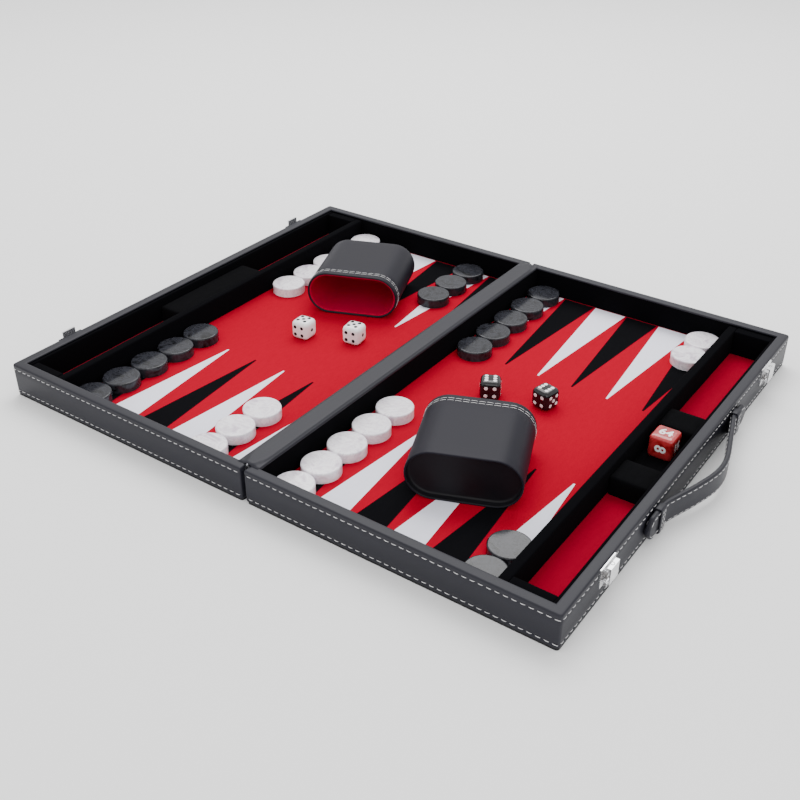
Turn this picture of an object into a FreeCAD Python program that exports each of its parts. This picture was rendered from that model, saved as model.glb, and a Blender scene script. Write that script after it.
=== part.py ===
import FreeCAD, Part
import Sketcher
import math
import os
import re

from FreeCAD import Placement, Rotation, Vector

os.makedirs("parts", exist_ok=True)
doc = FreeCAD.newDocument("backgammon_case")

# Driving dimensions in millimetres. Each half is laid out outwards from the seam,
# so "u" below is the distance from the seam and the left half mirrors the right.
DIMENSIONS = {
    "seam_x": -10.38,
    "half_width": 277.0,
    "half_length": 230.0,
    "tray_height": 31.8,
    "seam_gap": 2.0,
    "wrap_thick": 0.9,
    "wrap_low": 2.2,
    "cover_thick": 0.8,
    "cover_inset": 0.4,
    "corner_round": 3.0,
    "rim_outer": 9.2,
    "rim_centre": 8.6,
    "lining_thick": 1.2,
    "board_thick": 3.6,
    "field_thick": 1.5,
    "point_inlay": 0.5,
    "field_start": 11.65,
    "point_pitch": 35.0,
    "point_gap": 1.7,
    "point_base_y": 220.0,
    "point_apex_y": 65.4,
    "point_tip": 1.6,
    "divider_start": 221.7,
    "divider_thick": 8.5,
    "divider_top": 29.0,
    "trough_end": 264.7,
    "trough_stop": 10.0,
    "trough_felt": 0.6,
    "pad_top": 22.3,
    "pad_reach": 61.0,
    "well_reach": 31.0,
    "well_felt": 2.0,
    "hinge_rise": 0.45,
    "hinge_reach": 224.0,
    "knuckle_radius": 1.05,
    "knuckle_gap": 0.4,
    "bore_radius": 0.62,
    "pin_radius": 0.55,
    "leaf_thick": 1.0,
    "leaf_low": 12.0,
    "leaf_high": 30.2,
    "strip_thick": 0.4,
    "strip_reach": 223.0,
    "latch_y": 163.0,
    "plate_reach": 11.6,
    "plate_low": 14.6,
    "plate_high": 31.2,
    "plate_thick": 1.0,
    "lever_reach": 6.8,
    "lever_out": 6.0,
    "lever_sheet": 1.0,
    "lever_top": 31.2,
    "lever_low": 17.0,
    "hook_in": 2.9,
    "lever_pin_out": 3.2,
    "lever_pin_z": 17.6,
    "lever_curl": 1.8,
    "pad_thick": 1.6,
    "tongue_thick": 0.8,
    "tongue_rise": 4.5,
    "keeper_y": 79.5,
    "keeper_reach": 4.5,
    "keeper_wall": 1.2,
    "strap_thick": 4.2,
    "strap_low": 5.6,
    "strap_high": 26.0,
    "strap_tip_y": 101.0,
    "checker_radius": 17.0,
    "checker_thick": 9.5,
    "checker_pitch": 34.2,
    "checker_first_y": 203.4,
    "die_size": 19.0,
    "cube_size": 21.0,
    "cup_width": 94.0,
    "cup_height": 45.0,
    "cup_length": 86.0,
    "cup_wall": 2.0,
    "cup_felt": 0.8,
    "cup_recess": 5.0,
    "cup_floor": 2.5,
}
SHEET = "Params"
CHECKER_ROUND = 1.4
KNUCKLES = 24
RIGHT, LEFT = 1, -1
SIDE_NAMES = {RIGHT: "right", LEFT: "left"}

sheet = doc.addObject("Spreadsheet::Sheet", SHEET)
for row, (alias, number) in enumerate(DIMENSIONS.items(), start=1):
    sheet.set("A%d" % row, alias.replace("_", " "))
    sheet.set("B%d" % row, str(number))
    sheet.setAlias("B%d" % row, alias)
doc.recompute()

nodes = []


def qualified(text):
    """Point every dimension name in a formula at the sheet."""
    return re.sub(r"[a-z][a-z_]+", lambda match: SHEET + "." + match.group(0), str(text))


def value(text):
    return float(sheet.evalExpression(qualified(text)))


def bind(item, prop, text):
    item.setExpression(prop, qualified(text))


def across(side, text):
    """A position at distance text from the seam, on one half."""
    return "seam_x + (%s)" % text if side == RIGHT else "seam_x - (%s)" % text


def span(pair):
    return "(%s) - (%s)" % (pair[1], pair[0])


def box(side, u, y, z):
    """A block between two distances from the seam, two y and two z positions."""
    item = doc.addObject("Part::Box", "Block")
    bind(item, "Length", span(u))
    bind(item, "Width", span(y))
    bind(item, "Height", span(z))
    bind(item, "Placement.Base.x", across(side, u[0] if side == RIGHT else u[1]))
    bind(item, "Placement.Base.y", y[0])
    bind(item, "Placement.Base.z", z[0])
    return item


def rounded_box(side, u, y, z, radius):
    """A block whose four upright edges are rounded."""
    base = box(side, u, y, z)
    item = doc.addObject("Part::Fillet", "RoundedBlock")
    item.Base = base
    item.Edges = [(edge, radius, radius) for edge in (1, 3, 5, 7)]
    return item


def rod_along_y(side, u, y, z, radius):
    """A round bar lying along y."""
    item = doc.addObject("Part::Cylinder", "Rod")
    bind(item, "Radius", radius)
    bind(item, "Height", span(y))
    item.Placement = Placement(Vector(0, 0, 0), Rotation(Vector(1, 0, 0), -90))
    bind(item, "Placement.Base.x", across(side, u))
    bind(item, "Placement.Base.y", y[0])
    bind(item, "Placement.Base.z", z)
    return item


def rod_along_x(side, u, y, z, radius):
    """A round bar standing out of an end wall."""
    item = doc.addObject("Part::Cylinder", "Rod")
    bind(item, "Radius", radius)
    bind(item, "Height", span(u))
    item.Placement = Placement(Vector(0, 0, 0), Rotation(Vector(0, 1, 0), 90))
    bind(item, "Placement.Base.x", across(side, u[0] if side == RIGHT else u[1]))
    bind(item, "Placement.Base.y", y)
    bind(item, "Placement.Base.z", z)
    return item


def combine(kind, name, items, prop):
    item = doc.addObject(kind, name)
    setattr(item, prop, list(items))
    return item


def fuse(*items):
    return combine("Part::MultiFuse", "Joined", items, "Shapes")


def common(*items):
    return combine("Part::MultiCommon", "Shared", items, "Shapes")


def group(*items):
    return combine("Part::Compound", "Set", items, "Links")


def cut(base, *tools):
    item = doc.addObject("Part::Cut", "Cut")
    item.Base = base
    item.Tool = tools[0] if len(tools) == 1 else fuse(*tools)
    return item


def node(label, item):
    """Name a finished sub-part."""
    item.Label = label
    nodes.append((label, item))
    return item


# ---- one tray -------------------------------------------------------------------------

WALL_U = ("seam_gap + wrap_thick", "half_width - wrap_thick")
WALL_Y = ("wrap_thick - half_length", "half_length - wrap_thick")
INNER_U = ("seam_gap + rim_centre", "half_width - rim_outer")
INNER_Y = ("rim_outer - half_length", "half_length - rim_outer")
LINED_U = ("seam_gap + rim_centre - lining_thick", "half_width - rim_outer + lining_thick")
LINED_Y = ("rim_outer - lining_thick - half_length", "half_length - rim_outer + lining_thick")
RAIL_Z = ("cover_thick", "tray_height - wrap_thick")
FLOOR_Z = "cover_thick + board_thick"
FIELD_Z = "cover_thick + board_thick + field_thick"
TROUGH_Z = "cover_thick + board_thick + trough_felt"
ABOVE = "tray_height + 10"
DIVIDER_U = ("divider_start", "divider_start + divider_thick")
TROUGH_U = ("divider_start + divider_thick", "trough_end")
WALL_ROUND = value("corner_round - wrap_thick")


def base_cover(side):
    """Thin leatherette bottom skin with a short upturned edge."""
    outside_u = ("seam_gap + cover_inset", "half_width - cover_inset")
    outside_y = ("cover_inset - half_length", "half_length - cover_inset")
    outside = rounded_box(side, outside_u, outside_y, ("0", "wrap_low"), value("corner_round - cover_inset"))
    inside = rounded_box(side, WALL_U, WALL_Y, ("cover_thick", "wrap_low + 1"), WALL_ROUND)
    return cut(outside, inside)


def leather_wrap(side):
    """Outer covering that turns over the rim and ends flush with the lining."""
    outside_u = ("seam_gap", "half_width")
    outside_y = ("-half_length", "half_length")
    outside = rounded_box(side, outside_u, outside_y, ("wrap_low", "tray_height"), value("corner_round"))
    inside = rounded_box(side, WALL_U, WALL_Y, ("0", "tray_height - wrap_thick"), WALL_ROUND)
    mouth = box(side, INNER_U, INNER_Y, ("0", ABOVE))
    return cut(outside, inside, mouth)


def rails(side):
    """Wooden frame of a tray: two long side rails, an end rail and the rail at the seam."""
    def ring():
        outside = rounded_box(side, WALL_U, WALL_Y, RAIL_Z, WALL_ROUND)
        return cut(outside, box(side, LINED_U, LINED_Y, ("0", ABOVE)))

    wide = ("0", "half_width")
    front = box(side, wide, ("-half_length", LINED_Y[0]), RAIL_Z)
    back = box(side, wide, (LINED_Y[1], "half_length"), RAIL_Z)
    end = box(side, (LINED_U[1], "half_width"), LINED_Y, RAIL_Z)
    centre = box(side, ("0", LINED_U[0]), LINED_Y, RAIL_Z)
    return {
        "side_rails": group(common(ring(), front), common(ring(), back)),
        "end_rail": common(ring(), end),
        "centre_rail": common(ring(), centre),
    }


def inner_lining(side):
    """Velvet lining on the inner faces of the rails."""
    outside = box(side, LINED_U, LINED_Y, (FLOOR_Z, RAIL_Z[1]))
    return cut(outside, box(side, INNER_U, INNER_Y, ("0", ABOVE)))


def point_outline(side, column, end):
    """The four corners of one point, with a narrow tip."""
    middle = value(across(side, "field_start + point_pitch * %s" % (column + 0.5)))
    half_base = value("(point_pitch - point_gap) / 2")
    half_tip = value("point_tip / 2")
    base_y = end * value("point_base_y")
    apex_y = end * value("point_apex_y")
    return [
        Vector(middle - half_base, base_y, 0),
        Vector(middle + half_base, base_y, 0),
        Vector(middle + half_tip, apex_y, 0),
        Vector(middle - half_tip, apex_y, 0),
    ]


def points(side, is_white):
    """Every white or every black point of a half, as flush felt inlays."""
    sketch = doc.addObject("Sketcher::SketchObject", "PointOutlines")
    for column in range(6):
        # Counted from the left, the near row starts black and the far row starts white.
        from_left = column if side == RIGHT else 5 - column
        near_white = from_left % 2 == 1
        end = -1 if near_white == is_white else 1
        corners = point_outline(side, column, end)
        for start, stop in zip(corners, corners[1:] + corners[:1]):
            sketch.addGeometry(Part.LineSegment(start, stop), False)
    bind(sketch, "Placement.Base.z", FIELD_Z + " - point_inlay")
    item = doc.addObject("Part::Extrusion", "Points")
    item.Base = sketch
    item.DirMode = "Custom"
    item.Dir = Vector(0, 0, 1)
    item.Solid = True
    bind(item, "LengthFwd", "point_inlay")
    return item


def hinge_leaf(side):
    """One leaf of the long hinge, with every second knuckle."""
    plate_u = ("seam_gap - leaf_thick", "seam_gap")
    plate = box(side, plate_u, ("-hinge_reach", "hinge_reach"), ("leaf_low", "leaf_high"))
    parts = [plate]
    first = 0 if side == RIGHT else 1
    for index in range(first, KNUCKLES, 2):
        low = "-hinge_reach + 2 * hinge_reach * %d / %d + knuckle_gap / 2" % (index, KNUCKLES)
        high = "-hinge_reach + 2 * hinge_reach * %d / %d - knuckle_gap / 2" % (index + 1, KNUCKLES)
        parts.append(box(side, plate_u, (low, high), ("leaf_high", "tray_height + 0.2")))
        parts.append(rod_along_y(side, "0", (low, high), "tray_height + hinge_rise", "knuckle_radius"))
    bore = rod_along_y(side, "0", ("-half_length", "half_length"), "tray_height + hinge_rise", "bore_radius")
    return cut(fuse(*parts), bore)


for side in (RIGHT, LEFT):
    suffix = "_" + SIDE_NAMES[side]
    node("base_cover" + suffix, base_cover(side))
    node("base_board" + suffix, box(side, LINED_U, LINED_Y, ("cover_thick", FLOOR_Z)))
    for name, item in rails(side).items():
        node(name + suffix, item)
    node("inner_lining" + suffix, inner_lining(side))
    node("leather_wrap" + suffix, leather_wrap(side))
    white = node("white_points" + suffix, points(side, True))
    black = node("black_points" + suffix, points(side, False))
    felt = box(side, (INNER_U[0], "divider_start"), INNER_Y, (FLOOR_Z, FIELD_Z))
    node("playing_field" + suffix, cut(felt, white, black))
    node("divider" + suffix, box(side, DIVIDER_U, INNER_Y, (FLOOR_Z, "divider_top")))
    stop_z = (FLOOR_Z, "divider_top")
    front_stop = box(side, TROUGH_U, (INNER_Y[0], INNER_Y[0] + " + trough_stop"), stop_z)
    back_stop = box(side, TROUGH_U, (INNER_Y[1] + " - trough_stop", INNER_Y[1]), stop_z)
    long_strip = box(side, ("trough_end", INNER_U[1]), INNER_Y, (FLOOR_Z, "divider_top + 0.8"))
    node("trough_frame" + suffix, group(front_stop, back_stop, long_strip))
    trough_y = (INNER_Y[0] + " + trough_stop", INNER_Y[1] + " - trough_stop")
    node("trough_felt" + suffix, box(side, TROUGH_U, trough_y, (FLOOR_Z, TROUGH_Z)))
    node("hinge_leaf" + suffix, hinge_leaf(side))
    strip_u = ("seam_gap", "seam_gap + rim_centre - 0.3")
    strip_z = ("tray_height", "tray_height + strip_thick")
    node("hinge_strip" + suffix, box(side, strip_u, ("-strip_reach", "strip_reach"), strip_z))

hinge_pin = rod_along_y(RIGHT, "0", ("-hinge_reach - 0.5", "hinge_reach + 0.5"),
                        "tray_height + hinge_rise", "pin_radius")
node("hinge_pin", hinge_pin)

# ---- soft blocks in the troughs -------------------------------------------------------

pad_y = ("-pad_reach", "pad_reach")
well = box(RIGHT, ("divider_start", "trough_end + 1"), ("-well_reach", "well_reach"),
           (TROUGH_Z + " + well_felt", ABOVE))
node("cube_well_block", cut(box(RIGHT, TROUGH_U, pad_y, (TROUGH_Z, "pad_top")), well))
node("trough_block_left", box(LEFT, TROUGH_U, pad_y, (TROUGH_Z, "pad_top")))

# ---- latches on the right end wall ----------------------------------------------------

OUT = "half_width"
LUG_HALF = 8.5
RIVET_AT = ((" - 9.6", "23.6"), (" + 9.6", "23.6"))


def out(text):
    return OUT + " + " + text


def latch_plate(y):
    """Base plate with two lugs that carry the lever's pin."""
    plate = box(RIGHT, (OUT, out("plate_thick")), (y + " - plate_reach", y + " + plate_reach"),
                ("plate_low", "plate_high"))
    parts = [plate]
    for low in ("7.2", "-%s" % LUG_HALF):
        lug_y = ("%s + %s" % (y, low), "%s + %s + 1.3" % (y, low))
        parts.append(box(RIGHT, (out("plate_thick"), out("lever_pin_out + 1.5")), lug_y,
                         ("lever_pin_z - 1.6", "lever_pin_z + 1.8")))
    bore = rod_along_y(RIGHT, out("lever_pin_out"), (y + " - 12", y + " + 12"), "lever_pin_z", "bore_radius")
    holes = [rod_along_x(RIGHT, (out("-1"), out("2")), y + offset, height, "1.2")
             for offset, height in RIVET_AT]
    return cut(fuse(*parts), bore, *holes)


def latch_rivets(y):
    """Two plate rivets, each a shank in its hole under a low head."""
    rivets = []
    for offset, height in RIVET_AT:
        shank = rod_along_x(RIGHT, (OUT, out("plate_thick")), y + offset, height, "1.2")
        head = rod_along_x(RIGHT, (out("plate_thick"), out("plate_thick + 0.5")), y + offset, height, "1.9")
        rivets.append(fuse(shank, head))
    return rivets


def latch_lever(y):
    """Bent lever: a hooked top flange, an outer face and two curls round the pin."""
    ends = (y + " - lever_reach", y + " + lever_reach")
    face = box(RIGHT, (out("lever_out - lever_sheet"), out("lever_out")), ends, ("lever_low", "lever_top"))
    hook = box(RIGHT, (out("hook_in"), out("lever_out")), ends, ("lever_top - lever_sheet", "lever_top"))
    parts = [face, hook]
    for low in ("- lever_reach", "+ lever_reach - 4.4"):
        curl_y = ("%s %s" % (y, low), "%s %s + 4.4" % (y, low))
        parts.append(rod_along_y(RIGHT, out("lever_pin_out"), curl_y, "lever_pin_z", "lever_curl"))
        parts.append(box(RIGHT, (out("lever_pin_out"), out("lever_out - lever_sheet / 2")), curl_y,
                         ("lever_pin_z - 0.6", "lever_pin_z + 1.2")))
    bore = rod_along_y(RIGHT, out("lever_pin_out"), (y + " - 12", y + " + 12"), "lever_pin_z", "bore_radius")
    return cut(fuse(*parts), bore)


def latch_spring(y):
    """Coil round the pin with one leg resting on the base plate."""
    coil_y = (y + " - 2.2", y + " + 2.2")
    coil = rod_along_y(RIGHT, out("lever_pin_out"), coil_y, "lever_pin_z", "1.6")
    leg = box(RIGHT, (out("plate_thick"), out("plate_thick + 0.6")), (y + " - 2.2", y + " - 1.4"),
              ("lever_pin_z", "lever_pin_z + 5"))
    link = box(RIGHT, (out("plate_thick"), out("lever_pin_out - 1")), (y + " - 2.2", y + " - 1.4"),
               ("lever_pin_z - 0.3", "lever_pin_z + 0.3"))
    bore = rod_along_y(RIGHT, out("lever_pin_out"), (y + " - 5", y + " + 5"), "lever_pin_z", "bore_radius")
    return cut(fuse(coil, leg, link), bore)


def latch_pin(y):
    ends = ("%s - %s" % (y, LUG_HALF), "%s + %s" % (y, LUG_HALF))
    return rod_along_y(RIGHT, out("lever_pin_out"), ends, "lever_pin_z", "pin_radius")


LATCHES = ("-latch_y", "latch_y")
node("latch_plates", group(*[latch_plate(y) for y in LATCHES]))
node("latch_rivets", group(*[rivet for y in LATCHES for rivet in latch_rivets(y)]))
node("latch_pins", group(*[latch_pin(y) for y in LATCHES]))
node("latch_springs", group(*[latch_spring(y) for y in LATCHES]))
node("latch_lever_front", latch_lever(LATCHES[0]))
node("latch_lever_back", latch_lever(LATCHES[1]))

# ---- catches on the left end wall -----------------------------------------------------

CATCH_HOLES = ((" - 7", "23"), (" + 7", "23"))


def catch_pad(y):
    pad = box(LEFT, (OUT, out("pad_thick")), (y + " - 13", y + " + 13"), ("17", "tray_height - 0.6"))
    holes = [rod_along_x(LEFT, (out("-1"), out("4")), y + offset, height, "1.0")
             for offset, height in CATCH_HOLES]
    return cut(pad, *holes)


def catch(y):
    """Riveted plate with a tongue that stands above the rim and ends in a small lip."""
    sheet_u = (out("pad_thick"), out("pad_thick + tongue_thick"))
    plate = box(LEFT, sheet_u, (y + " - 10.5", y + " + 10.5"), ("19", "29"))
    tongue = box(LEFT, sheet_u, (y + " - 7.3", y + " + 7.3"), ("29", "tray_height + tongue_rise"))
    lip = box(LEFT, (out("pad_thick"), out("pad_thick + tongue_thick + 0.9")),
              (y + " - 7.3", y + " + 7.3"), ("tray_height + tongue_rise - 0.9", "tray_height + tongue_rise"))
    holes = [rod_along_x(LEFT, (out("-1"), out("4")), y + offset, height, "1.0")
             for offset, height in CATCH_HOLES]
    return cut(fuse(plate, tongue, lip), *holes)


def catch_rivets(y):
    rivets = []
    for offset, height in CATCH_HOLES:
        shank = rod_along_x(LEFT, (OUT, out("pad_thick + tongue_thick")), y + offset, height, "1.0")
        head = rod_along_x(LEFT, (out("pad_thick + tongue_thick"), out("pad_thick + tongue_thick + 0.6")),
                           y + offset, height, "1.6")
        rivets.append(fuse(shank, head))
    return rivets


node("catch_pads", group(*[catch_pad(y) for y in LATCHES]))
node("catches", group(*[catch(y) for y in LATCHES]))
node("catch_rivets", group(*[rivet for y in LATCHES for rivet in catch_rivets(y)]))

# ---- carrying handle on the right end wall --------------------------------------------


def keeper(y):
    """Flat loop, sewn to the wall, that holds one end of the strap."""
    ends = (y + " - keeper_reach", y + " + keeper_reach")
    slot_out = "keeper_wall + strap_thick + 0.6"
    loop = box(RIGHT, (OUT, out(slot_out + " + keeper_wall")), ends,
               ("strap_low - 0.1 - keeper_wall", "strap_high + 0.1 + keeper_wall"))
    slot = box(RIGHT, (out("keeper_wall"), out(slot_out)), (y + " - 9", y + " + 9"),
               ("strap_low - 0.1", "strap_high + 0.1"))
    return cut(loop, slot)


node("handle_keepers", group(keeper("-keeper_y"), keeper("keeper_y")))

# The strap's middle line, as (y, distance from the end wall): bent leather, fullest near its middle.
STRAP_LINE = [(-101, 3.5), (-92, 3.5), (-84, 3.5), (-76, 3.5), (-68, 4.7), (-56, 8.5), (-42, 13.3),
              (-30, 16.9), (-18, 20.0), (-6, 21.8), (6, 21.6), (18, 19.6), (34, 15.2), (49, 10.9),
              (60, 7.9), (69, 5.1), (76, 3.6), (84, 3.5), (92, 3.5), (101, 3.5)]


def strap_shape():
    """Sweep the strap's thickness along its middle line and cut both ends to a point."""
    wall = value(across(RIGHT, OUT))
    knots = [Vector(wall + reach, y, 0) for y, reach in STRAP_LINE]
    line = Part.BSplineCurve()
    line.interpolate(knots)
    half = value("strap_thick") / 2
    inner, outer = [], []
    steps = 72
    for step in range(steps + 1):
        parameter = line.FirstParameter + (line.LastParameter - line.FirstParameter) * step / steps
        tangent = line.tangent(parameter)[0]
        normal = Vector(tangent.y, -tangent.x, 0).normalize()
        outer.append(line.value(parameter) + normal * half)
        inner.append(line.value(parameter) - normal * half)
    curves = []
    for side_points in (inner, outer):
        curve = Part.BSplineCurve()
        curve.interpolate(side_points)
        curves.append(curve.toShape())
    caps = [Part.makeLine(inner[0], outer[0]), Part.makeLine(inner[-1], outer[-1])]
    face = Part.Face(Part.Wire(Part.__sortEdges__(curves + caps)))
    low, high = value("strap_low"), value("strap_high")
    band = face.extrude(Vector(0, 0, high - low))
    band.translate(Vector(0, 0, low))
    tip = value("strap_tip_y")
    middle = (low + high) / 2
    outline = [(-tip, middle - 2), (-tip + 8, low), (tip - 8, low), (tip, middle - 2),
               (tip, middle + 2), (tip - 8, high), (-tip + 8, high), (-tip, middle + 2)]
    corners = [Vector(wall - 5, y, z) for y, z in outline]
    side_view = Part.Face(Part.makePolygon(corners + corners[:1]))
    return band.common(side_view.extrude(Vector(60, 0, 0))).Solids[0]


strap = doc.addObject("Part::Feature", "Strap")
strap.Shape = strap_shape()
strap.Placement = Placement(Vector(0, 0, 0), Rotation())
node("handle_strap", strap)

# ---- loose pieces ---------------------------------------------------------------------


def stadium_sketch(body, name, width, height, lift):
    """Closed outline of two half circles joined by straight lines."""
    sketch = body.newObject("Sketcher::SketchObject", name)
    plane = [item for item in body.Origin.OriginFeatures if item.Role == "XY_Plane"][0]
    sketch.AttachmentSupport = [(plane, "")]
    sketch.MapMode = "FlatFace"
    radius = value("(%s) / 2" % height)
    reach = value("(%s) / 2" % width) - radius
    up = Vector(0, 0, 1)
    right_arc = Part.ArcOfCircle(Part.Circle(Vector(reach, 0, 0), up, radius), -math.pi / 2, math.pi / 2)
    left_arc = Part.ArcOfCircle(Part.Circle(Vector(-reach, 0, 0), up, radius), math.pi / 2, 3 * math.pi / 2)
    top = Part.LineSegment(Vector(reach, radius, 0), Vector(-reach, radius, 0))
    low = Part.LineSegment(Vector(-reach, -radius, 0), Vector(reach, -radius, 0))
    sketch.addGeometry([right_arc, top, left_arc, low], False)
    for first, second in ((0, 1), (1, 2), (2, 3), (3, 0)):
        sketch.addConstraint(Sketcher.Constraint("Tangent", first, 2, second, 1))
    sketch.addConstraint(Sketcher.Constraint("Symmetric", 0, 3, 2, 3, -1, 1))
    sketch.addConstraint(Sketcher.Constraint("Horizontal", 1))
    span_id = sketch.addConstraint(Sketcher.Constraint("DistanceX", 2, 3, 0, 3, 2 * reach))
    sketch.renameConstraint(span_id, "span")
    round_id = sketch.addConstraint(Sketcher.Constraint("Radius", 0, radius))
    sketch.renameConstraint(round_id, "round")
    bind(sketch, "Constraints.span", "(%s) - (%s)" % (width, height))
    bind(sketch, "Constraints.round", "(%s) / 2" % height)
    bind(sketch, "AttachmentOffset.Base.z", lift)
    return sketch


def pad(body, sketch, length):
    item = body.newObject("PartDesign::Pad", "Pad")
    item.Profile = sketch
    bind(item, "Length", length)
    return item


def pocket_down(body, sketch, depth):
    item = body.newObject("PartDesign::Pocket", "Pocket")
    item.Profile = sketch
    bind(item, "Length", depth)
    return item


def place_cup(body, x, y, turn):
    """Lay a cup on its flat side: x and y give the middle of its base end on the felt."""
    lying = Rotation(Vector(0, 0, 1), turn).multiply(Rotation(Vector(1, 0, 0), -90))
    body.Placement = Placement(Vector(0, 0, 0), lying)
    bind(body, "Placement.Base.x", "seam_x + (%s)" % x)
    bind(body, "Placement.Base.y", y)
    bind(body, "Placement.Base.z", FIELD_Z + " + cup_height / 2")


def cup(name, x, y, turn):
    """A leather sleeve and the felt-lined inner cup glued into it."""
    shell = doc.addObject("PartDesign::Body", "CupShell")
    outline = stadium_sketch(shell, "ShellOutline", "cup_width", "cup_height", "0")
    pad(shell, outline, "cup_length")
    bore_size = ("cup_width - 2 * cup_wall", "cup_height - 2 * cup_wall")
    bore = stadium_sketch(shell, "ShellBore", bore_size[0], bore_size[1], "cup_length")
    pocket_down(shell, bore, "cup_length + 1")
    place_cup(shell, x, y, turn)

    lining = doc.addObject("PartDesign::Body", "CupLining")
    outline = stadium_sketch(lining, "LiningOutline", bore_size[0], bore_size[1], "cup_recess")
    pad(lining, outline, "cup_length - cup_recess - 0.6")
    hollow_size = (bore_size[0] + " - 2 * cup_felt", bore_size[1] + " - 2 * cup_felt")
    hollow = stadium_sketch(lining, "LiningHollow", hollow_size[0], hollow_size[1], "cup_length - 0.6")
    pocket_down(lining, hollow, "cup_length - cup_recess - 0.6 - cup_floor")
    place_cup(lining, x, y, turn)
    node("cup_shell_" + name, shell)
    node("cup_lining_" + name, lining)


def rounded_cube(label, size, rounding, x, y, z, turn):
    """A cube whose twelve edges are rounded by a fraction of its size."""
    block = doc.addObject("Part::Box", "Cube")
    for prop in ("Length", "Width", "Height"):
        bind(block, prop, size)
    bind(block, "Placement.Base.x", "-(%s) / 2" % size)
    bind(block, "Placement.Base.y", "-(%s) / 2" % size)
    soft = doc.addObject("Part::Fillet", "SoftCube")
    soft.Base = block
    radius = value(size) * rounding
    soft.Edges = [(edge, radius, radius) for edge in range(1, 13)]
    soft.Placement = Placement(Vector(0, 0, 0), Rotation(Vector(0, 0, 1), turn))
    bind(soft, "Placement.Base.x", "seam_x + (%s)" % x)
    bind(soft, "Placement.Base.y", y)
    bind(soft, "Placement.Base.z", z)
    node(label, soft)


def checker(side, column, y):
    disc = doc.addObject("Part::Cylinder", "Disc")
    bind(disc, "Radius", "checker_radius")
    bind(disc, "Height", "checker_thick")
    bind(disc, "Placement.Base.x", across(side, "field_start + point_pitch * %s" % (column + 0.5)))
    bind(disc, "Placement.Base.y", y)
    bind(disc, "Placement.Base.z", FIELD_Z)
    rounded = doc.addObject("Part::Fillet", "Checker")
    rounded.Base = disc
    rounded.Edges = [(edge, CHECKER_ROUND, CHECKER_ROUND) for edge in (1, 3)]
    return rounded


def checker_row(label, side, column, end, count):
    """Checkers lying along one point, from its base towards its tip."""
    sign = "-1" if end < 0 else "1"
    rows = ["%s * (checker_first_y - checker_pitch * %d)" % (sign, index) for index in range(count)]
    node(label, group(*[checker(side, column, y) for y in rows]))


cup("right", "144.6", "-139.4", 22.2)
cup("left", "-146.4", "139.3", 202.0)

rounded_cube("die_white_near", "die_size", 0.2, "-126.5", "-1.9", FIELD_Z, 4)
rounded_cube("die_white_far", "die_size", 0.2, "-79.5", "18.1", FIELD_Z, 8)
rounded_cube("die_black_near", "die_size", 0.2, "81.3", "8.4", FIELD_Z, 28)
rounded_cube("die_black_far", "die_size", 0.2, "129.3", "22.8", FIELD_Z, -13)
rounded_cube("doubling_cube", "cube_size", 0.14, "245.4", "13", TROUGH_Z + " + well_felt", 0)

# Starting layout; columns are counted from the seam outwards.
ROWS = [
    ("checkers_white_a", LEFT, 5, 1, 5),
    ("checkers_black_a", LEFT, 5, -1, 5),
    ("checkers_white_b", LEFT, 1, -1, 3),
    ("checkers_black_b", LEFT, 1, 1, 3),
    ("checkers_black_c", RIGHT, 0, 1, 5),
    ("checkers_white_c", RIGHT, 0, -1, 5),
    ("checkers_white_d", RIGHT, 5, 1, 2),
    ("checkers_black_d", RIGHT, 5, -1, 2),
]
for label, side, column, end, count in ROWS:
    checker_row(label, side, column, end, count)

# ---- check and export -----------------------------------------------------------------

doc.recompute()
problems = []
for item in doc.Objects:
    if {"Invalid", "Error"} & set(item.State):
        problems.append(item.Name + " " + " ".join(item.State))
for label, item in nodes:
    shape = item.Shape
    if shape.isNull() or not shape.isValid() or not shape.Solids:
        problems.append(label + " has no valid solid")
if problems:
    raise RuntimeError("; ".join(problems))
for label, item in nodes:
    item.Shape.exportStep("parts/%s.step" % label)
bounds = [item.Shape.BoundBox for _, item in nodes]
print("nodes", len(nodes))
print("x", min(b.XMin for b in bounds), max(b.XMax for b in bounds))
print("y", min(b.YMin for b in bounds), max(b.YMax for b in bounds))
print("z", min(b.ZMin for b in bounds), max(b.ZMax for b in bounds))
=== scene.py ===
import math
import random

import bpy
from mathutils import Matrix, Vector, noise


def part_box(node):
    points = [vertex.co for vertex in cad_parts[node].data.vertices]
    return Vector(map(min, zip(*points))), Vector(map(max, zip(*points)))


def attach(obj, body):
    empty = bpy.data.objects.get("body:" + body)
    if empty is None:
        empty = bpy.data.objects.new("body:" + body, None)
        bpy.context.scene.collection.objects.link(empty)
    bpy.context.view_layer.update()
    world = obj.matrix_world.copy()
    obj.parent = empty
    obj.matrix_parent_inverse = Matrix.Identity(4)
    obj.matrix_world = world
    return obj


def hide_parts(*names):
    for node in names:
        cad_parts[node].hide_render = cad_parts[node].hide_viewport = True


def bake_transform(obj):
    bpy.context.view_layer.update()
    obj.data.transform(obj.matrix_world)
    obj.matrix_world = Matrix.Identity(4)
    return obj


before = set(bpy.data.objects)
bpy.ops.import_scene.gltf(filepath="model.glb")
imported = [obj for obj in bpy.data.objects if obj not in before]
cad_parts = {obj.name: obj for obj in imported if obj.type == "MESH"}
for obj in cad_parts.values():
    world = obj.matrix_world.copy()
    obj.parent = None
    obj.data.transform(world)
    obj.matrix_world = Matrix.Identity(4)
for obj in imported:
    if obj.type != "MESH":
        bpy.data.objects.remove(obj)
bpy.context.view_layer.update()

MM = 0.001
SIDES = {"right": 1, "left": -1}
random.seed(7)
noise.seed_set(7)

# ---- the case's own places, in millimetres from the seam -------------------------------

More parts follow.
